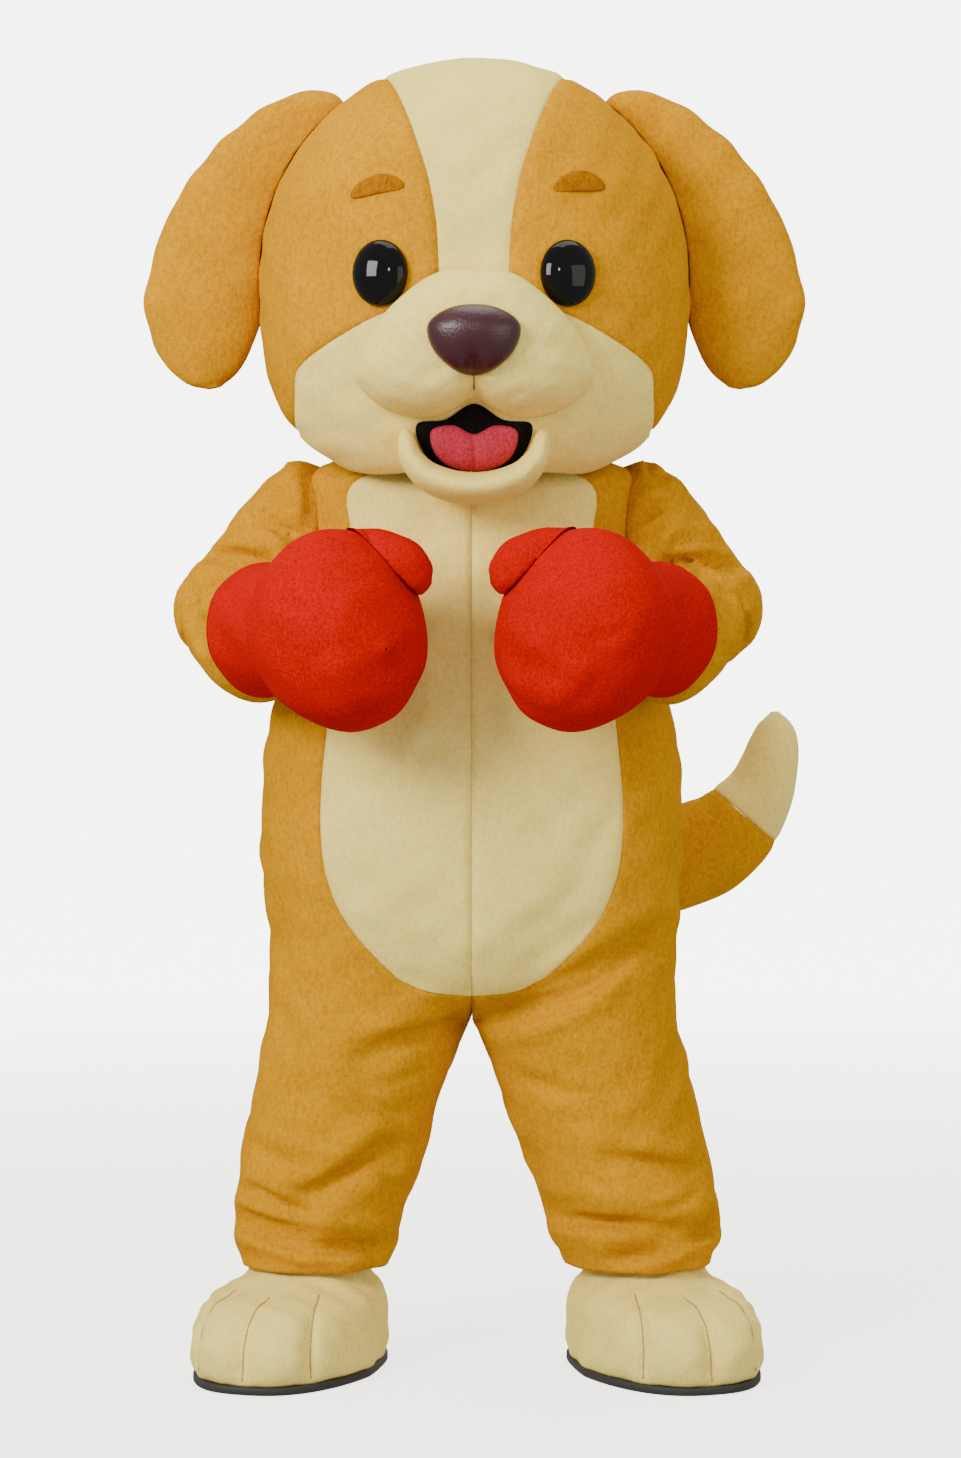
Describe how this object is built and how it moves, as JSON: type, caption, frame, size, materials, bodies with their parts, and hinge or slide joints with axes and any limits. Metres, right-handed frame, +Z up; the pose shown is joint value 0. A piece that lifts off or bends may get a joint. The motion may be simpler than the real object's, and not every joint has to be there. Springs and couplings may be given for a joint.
{
  "type": "dog costume",
  "caption": "Worn dog costume: amber plush suit with a cream belly, padded head with floppy ears, red boxing gloves, paw shoes and a tail.",
  "frame": {"origin": "base of the neck, where the wearer's shoulders carry the suit, 1.34 m above the soles", "axes": "+Z up, the dog faces -Y, its left arm is on the +X side"},
  "size_m": [0.9801, 0.9208, 1.8829],
  "materials": {
    "amber_plush": "short plush pile",
    "brow_plush": "short plush pile",
    "cream_plush": "short plush pile",
    "red_fleece": "fine fleece",
    "black_lining": "matt",
    "black_sole": "matt",
    "plum_nose": "satin, grained",
    "pink_tongue": "felt",
    "black_eye": "gloss"
  },
  "bodies": {
    "root": {"belly_left": "cream_plush", "belly_right": "cream_plush", "front_left": "amber_plush", "front_right": "amber_plush", "back_left": "amber_plush", "back_right": "amber_plush", "sleeve_left": "amber_plush", "sleeve_right": "amber_plush", "cuff_left": "red_fleece", "cuff_right": "red_fleece", "mitt_left": "red_fleece", "mitt_right": "red_fleece", "thumb_left": "red_fleece", "thumb_right": "red_fleece", "shoe_left": "cream_plush", "shoe_right": "cream_plush", "sole_left": "black_sole", "sole_right": "black_sole", "head_left": "amber_plush", "head_right": "amber_plush", "ear_left": "amber_plush", "ear_right": "amber_plush", "eye_left": "black_eye", "eye_right": "black_eye", "brow_left": "brow_plush", "brow_right": "brow_plush", "tail_base": "amber_plush", "tail_tip": "cream_plush", "blaze": "cream_plush", "face": "cream_plush", "muzzle": "cream_plush", "chin": "cream_plush", "mouth": "black_lining", "tongue": "pink_tongue", "nose": "plum_nose"}
  },
  "joints": []
}
